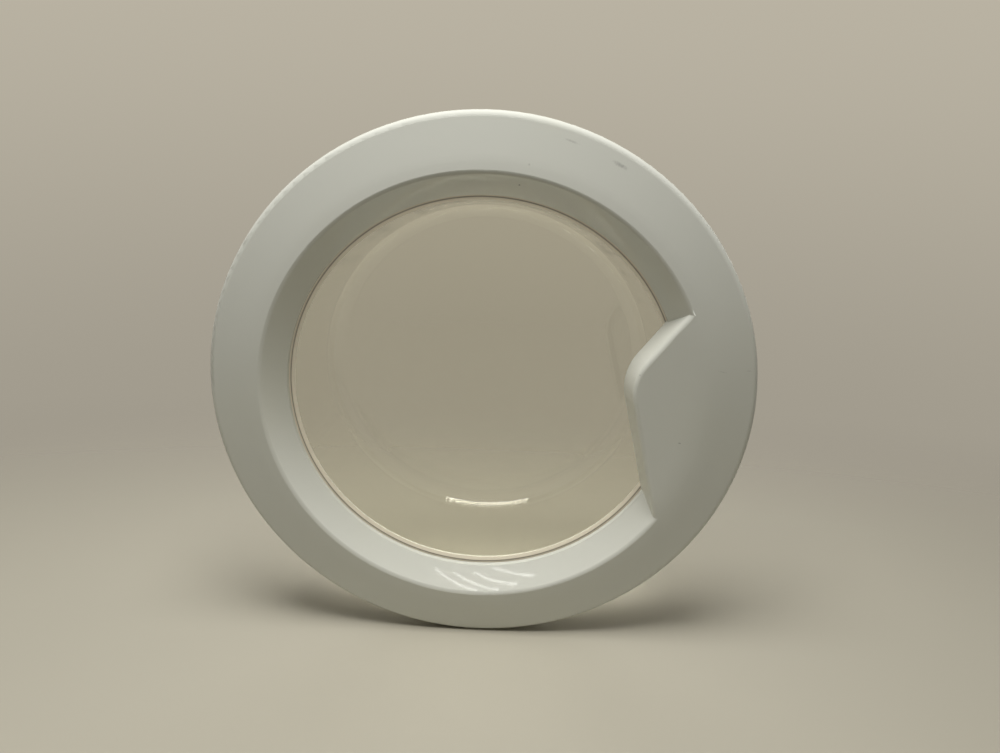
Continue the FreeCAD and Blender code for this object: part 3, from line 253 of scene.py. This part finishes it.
# Release lever: a satin white ABS moulding in the mouth of the grip, pulled by the fingers that reach
# behind it. Its two barrels turn on the latch pin, and a bar between them pushes the hook.
def softened(node, width, name):
    """Copy of a CAD node with its sharp edges rounded off as on the real casting or moulding."""
    weld, flat, sharp = 0.000002, math.radians(0.6), math.radians(35)
    piece = bpy.data.objects.new(name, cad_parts[node].data.copy())
    bpy.context.scene.collection.objects.link(piece)
    bpy.ops.object.select_all(action="DESELECT")
    bpy.context.view_layer.objects.active = piece
    piece.select_set(True)
    bpy.ops.mesh.customdata_custom_splitnormals_clear()
    bpy.ops.object.mode_set(mode="EDIT")
    bpy.ops.mesh.select_all(action="SELECT")
    bpy.ops.mesh.remove_doubles(threshold=weld)
    bpy.ops.mesh.dissolve_limited(angle_limit=flat)
    bpy.ops.object.mode_set(mode="OBJECT")
    rounding = piece.modifiers.new("rounding", "BEVEL")
    rounding.width = width
    rounding.segments = 2
    rounding.limit_method = "ANGLE"
    rounding.angle_limit = sharp
    rounding.use_clamp_overlap = True
    bpy.ops.object.modifier_apply(modifier="rounding")
    bpy.ops.object.shade_smooth_by_angle(angle=sharp)
    shading = piece.modifiers.new("shading", "WEIGHTED_NORMAL")
    shading.weight = 100
    shading.keep_sharp = True
    bpy.ops.object.modifier_apply(modifier="shading")
    return piece


def moulded(name, colour, roughness, grain, depth):
    """Plain moulded plastic: a breath of unevenness in its colour and the grain of the mould."""
    material, start, place = new_finish(name)
    uneven = band(noise(place, 25.0, 3.0), 0.35, 0.75)
    dull = tuple(part * 0.94 for part in colour[:3]) + (1,)
    skin = noise(place, grain, 3.0)
    painted(
        start,
        Base_Color=blend(uneven, colour, dull),
        Roughness=band(skin, 0.3, 0.7) * 0.12 + roughness,
        Normal=bump(skin, 0.25, depth),
    )
    return material


lever_white = moulded("lever_white", (0.66, 0.66, 0.62, 1), 0.32, 1800.0, 0.0001)
lever = softened("release_lever", 0.0005, "lever_moulding")
fit(lever, "release_lever", "lever", "lever_plastic", lever_white)


# Latch hook: a bare zinc pressure casting with a dull, cloudy and finely pitted skin. It turns on the
# latch pin between the lever's barrels, and its barbed shank reaches into the door lock.
def cast_zinc(name, colour, roughness):
    """Bare cast zinc: clouds in its colour and gloss, and fine pits."""
    material, start, place = new_finish(name)
    cloud = band(noise(place, 90.0, 4.0), 0.3, 0.75)
    pits = noise(place, 1600.0, 3.0)
    dark = tuple(part * 0.72 for part in colour[:3]) + (1,)
    painted(
        start,
        Base_Color=blend(cloud, colour, dark),
        Metallic=1.0,
        Roughness=cloud * 0.16 + band(pits, 0.4, 0.7) * 0.1 + roughness,
        Normal=bump(pits, 0.35, 0.0002),
    )
    return material


hook_zinc = cast_zinc("hook_cast", (0.62, 0.62, 0.60, 1), 0.30)
hook = softened("latch_hook", 0.0005, "hook_casting")
fit(hook, "latch_hook", "hook", "hook_zinc", hook_zinc)


# Latch bracket: zinc-plated sheet steel, cut and folded, with the faint crystals of the plating. Its
# base is screwed to the inner frame and its two ears carry the latch pin.
def plated(name, colour, roughness, crystals):
    """Zinc plating: crystals that differ in gloss, under a thin yellowish film."""
    material, start, place = new_finish(name)
    sockets = {"Vector": place, "Scale": crystals}
    cells = place.step("ShaderNodeTexVoronoi", {}, sockets, out="Color")
    flake = place.step("ShaderNodeSeparateColor", {}, {"Color": cells}, out="Red")
    film = band(noise(place, 70.0, 3.0), 0.35, 0.7)
    tinted = (colour[0] * 0.93, colour[1] * 0.90, colour[2] * 0.78, 1)
    painted(
        start,
        Base_Color=blend(film * 0.6, colour, tinted),
        Metallic=1.0,
        Roughness=flake * 0.14 + roughness,
        Normal=bump(noise(place, 900.0, 2.0), 0.15, 0.0001),
    )
    return material


sheet_zinc = plated("bracket_plating", (0.66, 0.66, 0.65, 1), 0.24, 420.0)
bracket = softened("latch_bracket", 0.0003, "bracket_folding")
fit(bracket, "latch_bracket", "door", "bracket_steel", sheet_zinc)


# Latch pin and its clip: a headed pin of ground steel, down through the bracket, the lever and the hook.
# A clip stamped from spring steel snaps into its groove below and keeps it there.
def ground_steel(name, colour, roughness, height):
    """Steel ground or drawn round the upright axis, so its fine lines run round it."""
    material, start, place = new_finish(name)
    lines = place.step("ShaderNodeMapping", {}, {"Vector": place, "Scale": (1, 1, height)})
    scratch = noise(lines, 60.0, 4.0)
    dark = tuple(part * 0.75 for part in colour[:3]) + (1,)
    painted(
        start,
        Base_Color=blend(band(scratch, 0.35, 0.7), colour, dark),
        Metallic=1.0,
        Roughness=scratch * 0.2 + roughness,
        Normal=bump(scratch, 0.1, 0.0001),
    )
    return material


pin_steel = ground_steel("ground_pin", (0.60, 0.60, 0.61, 1), 0.12, 60.0)
latch_pin = softened("latch_pin", 0.0003, "latch_pin_turned")
fit(latch_pin, "latch_pin", "door", "pin_steel", pin_steel)
spring_steel = ground_steel("tempered_wire", (0.42, 0.42, 0.44, 1), 0.2, 8.0)
clip = softened("latch_pin_clip", 0.0001, "pin_clip_stamping")
fit(clip, "latch_pin_clip", "door", "spring_steel", spring_steel)

# Hook spring: round tempered steel wire wound two and a half turns round the latch pin, over the hook.
# One straight leg lies along the hook and the other bears on the bracket.
coil_x, coil_y, coil_z = 0.383, -0.020, 0.0059
wire, coil_radius, pitch, turns, leg = 0.0006, 0.004, 0.0024, 2.5, 0.0102
wire_sides, coil_steps, near = 12, 90, 0.00001
upright = (math.pi / 2, 0, 0)
start_of_coil = (coil_radius, 0, 0)
bpy.ops.object.select_all(action="DESELECT")
bpy.ops.mesh.primitive_circle_add(
    vertices=wire_sides, radius=wire, rotation=upright, location=start_of_coil
)
spring = bpy.context.object
spring.name = "spring_coil"
bpy.ops.object.transform_apply(location=True, rotation=True, scale=True)
winding = spring.modifiers.new("winding", "SCREW")
winding.angle = -math.tau * turns
winding.screw_offset = pitch * turns
winding.steps = winding.render_steps = coil_steps
winding.use_merge_vertices = False
bpy.ops.object.modifier_apply(modifier="winding")
bpy.ops.object.mode_set(mode="EDIT")
for end_x, end_z in ((coil_radius, 0.0), (-coil_radius, pitch * turns)):
    bpy.ops.mesh.select_all(action="DESELECT")
    bpy.ops.object.mode_set(mode="OBJECT")
    for vertex in spring.data.vertices:
        away = Vector((vertex.co.x - end_x, vertex.co.y, vertex.co.z - end_z))
        vertex.select = away.length < wire * 1.02 and abs(vertex.co.y) < near
    bpy.ops.object.mode_set(mode="EDIT")
    bpy.ops.mesh.select_mode(type="EDGE")
    bpy.ops.mesh.select_mode(type="VERT")
    bpy.ops.mesh.extrude_region_move(TRANSFORM_OT_translate={"value": (0, leg, 0)})
    bpy.ops.mesh.edge_face_add()
bpy.ops.mesh.select_all(action="SELECT")
bpy.ops.mesh.normals_make_consistent(inside=False)
bpy.ops.transform.translate(value=(coil_x, coil_y, coil_z))
bpy.ops.object.mode_set(mode="OBJECT")
bpy.ops.object.shade_smooth_by_angle(angle=math.radians(40))
fit(spring, "hook_spring", "door", "spring_steel", spring_steel)

# Hinge: two zinc castings, a leaf screwed inside the door and a plate screwed to the machine. A headed
# steel pin is pressed into the leaf and turns in two nylon bushes in the plate's arm.
hinge_zinc = cast_zinc("hinge_cast", (0.58, 0.58, 0.57, 1), 0.36)
leaf = softened("hinge_leaf", 0.0006, "hinge_leaf_casting")
fit(leaf, "hinge_leaf", "door", "hinge_zinc", hinge_zinc)
base = softened("hinge_plate", 0.0006, "hinge_plate_casting")
fit(base, "hinge_plate", "hinge_base", "hinge_zinc", hinge_zinc)
hinge_pin = softened("hinge_pin", 0.0004, "hinge_pin_turned")
fit(hinge_pin, "hinge_pin", "door", "pin_steel", pin_steel)
nylon = moulded("natural_nylon", (0.72, 0.70, 0.60, 1), 0.4, 900.0, 0.0001)
for node in ("hinge_bush_upper", "hinge_bush_lower"):
    fit(softened(node, 0.0002, f"{node}_sleeve"), node, "hinge_base", "nylon", nylon)

# Inner frame: a matt white ABS moulding with the fine grain of an etched mould, a little grimy from use.
# It closes the back, carries the glass flange on its seat and is screwed to the outer frame.
inner_white, start, place = new_finish("inner_white")
etched = noise(place, 1100.0, 3.0)
grime = band(noise(place, 14.0, 4.0), 0.5, 0.8)
painted(
    start,
    Base_Color=blend(grime * 0.5, (0.68, 0.68, 0.645, 1), (0.60, 0.59, 0.54, 1)),
    Roughness=band(etched, 0.3, 0.7) * 0.15 + 0.36,
    Normal=bump(etched, 0.3, 0.0002),
)
inner_frame = softened("inner_frame", 0.0005, "inner_moulding")
fit(inner_frame, "inner_frame", "door", "inner_plastic", inner_white)

# Screws: cold-headed steel with cross recesses, zinc-plated. Those of the frames and the latch lie flush
# at the back, and those of the hinge leaf sit inside the door.
screw_zinc = plated("screw_plating", (0.64, 0.64, 0.62, 1), 0.2, 900.0)
for node in ("leaf_screws", "frame_screws", "bracket_screws"):
    fit(softened(node, 0.00012, f"{node}_plated"), node, "door", "screw_steel", screw_zinc)

# Floor, light and camera: a plain pale floor that fades into the background, a soft light overhead,
# a faint one behind, and a rack of four lamp tubes that shows only in the gloss of the bevel.
floor_middle, floor_radius = (ring_x, 0, -0.2302), 6.0
fade_from, fade_to = 0.42, 0.95
bpy.ops.object.select_all(action="DESELECT")
bpy.ops.mesh.primitive_circle_add(
    vertices=96, radius=floor_radius, fill_type="NGON", location=floor_middle
)
floor = bpy.context.object
floor.name = "floor"
bpy.ops.object.transform_apply(location=True, rotation=True, scale=True)
pale, start, place = new_finish("floor")
spread = {"Vector": place, "Location": (-ring_x * 0.5, 0.3, 0), "Scale": (0.5, 1, 1)}
centred = start.step("ShaderNodeMapping", {}, spread)
fade = band(length(centred), fade_from, fade_to)
tint = blend(noise(place, 3.0, 3.0), (0.475, 0.45, 0.375, 1), (0.50, 0.475, 0.395, 1))
matt = start.step("ShaderNodeBsdfPrincipled", {}, {"Base Color": tint, "Roughness": 0.6})
faded = start.step("ShaderNodeBsdfTransparent")
shown = start.step("ShaderNodeMixShader", {}, {0: fade, 1: matt, 2: faded})
start.step("ShaderNodeOutputMaterial", {}, {"Surface": shown})
floor.data.materials.append(pale)

world = bpy.data.worlds.new("studio")
bpy.context.scene.world = world
world.use_nodes = True
world.node_tree.nodes.clear()
start = Finish(world.node_tree)
seen = start.step("ShaderNodeLightPath", out="Is Camera Ray")
for kind in ("Is Glossy Ray", "Is Transmission Ray"):
    both = {0: seen, 1: start.step("ShaderNodeLightPath", out=kind)}
    seen = start.step("ShaderNodeMath", {"operation": "MAXIMUM"}, both)
ambient = start.step("ShaderNodeBackground", {}, {"Color": (1, 0.97, 0.90, 1), "Strength": 0.05})
facing = start.step("ShaderNodeSeparateXYZ", {}, {"Vector": start.step("ShaderNodeTexCoord")}, out="Z")
# painted shade: the backdrop is coloured darker towards the bottom, below the horizon
wall = blend(band(facing, -0.35, 0.2), (0.36, 0.33, 0.27, 1), (0.49, 0.45, 0.366, 1))
backdrop = start.step("ShaderNodeBackground", {}, {"Color": wall, "Strength": 1.0})
sky = start.step("ShaderNodeMixShader", {}, {0: seen, 1: ambient, 2: backdrop})
start.step("ShaderNodeOutputWorld", {}, {"Surface": sky})


def lamp(name, place, target, size, watts, turn=0.0):
    """An oblong soft light that looks at a target, turned about the upright."""
    light = bpy.data.lights.new(name, "AREA")
    light.shape = "RECTANGLE"
    light.size, light.size_y = size
    light.energy = watts
    light.color = (1, 0.985, 0.95)
    carrier = bpy.data.objects.new(name, light)
    carrier.location = place
    aim = (Vector(target) - Vector(place)).to_track_quat("-Z", "Y").to_matrix()
    carrier.rotation_euler = (Matrix.Rotation(turn, 3, "Z") @ aim).to_euler()
    bpy.context.scene.collection.objects.link(carrier)
    return carrier


ceiling = lamp("ceiling_light", (0.07, -0.30, 1.30), (0.07, -0.15, 0), (1.0, 0.6), 23.0)
fill = lamp("back_fill", (ring_x, 1.9, 0.9), (ring_x, 0, 0), (1.6, 1.2), 8.0)
ceiling.visible_glossy = False
fill.visible_glossy = False
fill.visible_transmission = False
tube_level, tube_length, tube_width, tube_glow = 1.5, 0.50, 0.010, 6.0
tube_watts = math.pi * tube_glow * tube_length * tube_width
for number in range(4):
    first = Vector((0.60 - 0.22 * number, -1.11 + 0.022 * number, tube_level))
    last = Vector((first.x - tube_length, -1.14, tube_level))
    turn = math.atan2(last.y - first.y, last.x - first.x)
    middle = (first + last) / 2
    below = middle - Vector((0, 0, 1))
    tube = lamp(f"tube_{number}", middle, below, (tube_length, tube_width), tube_watts, turn)
    tube.visible_diffuse = False
    tube.visible_transmission = False

camera = bpy.data.objects.new("camera", bpy.data.cameras.new("camera"))
camera.data.lens = 27
camera.data.sensor_width = 36
across = Vector((0.9991, 0.0310, 0.0281))
upward = Vector((-0.0364, 0.3153, 0.9483))
ahead = Vector((-0.0206, 0.9485, -0.3162))
eye = Vector((0.2150, -0.6265, 0.2180))
axes = Matrix((across, upward, -ahead)).transposed().to_4x4()
camera.matrix_world = Matrix.Translation(eye) @ axes
bpy.context.scene.collection.objects.link(camera)
bpy.context.scene.camera = camera
bpy.context.scene.view_settings.view_transform = "Standard"
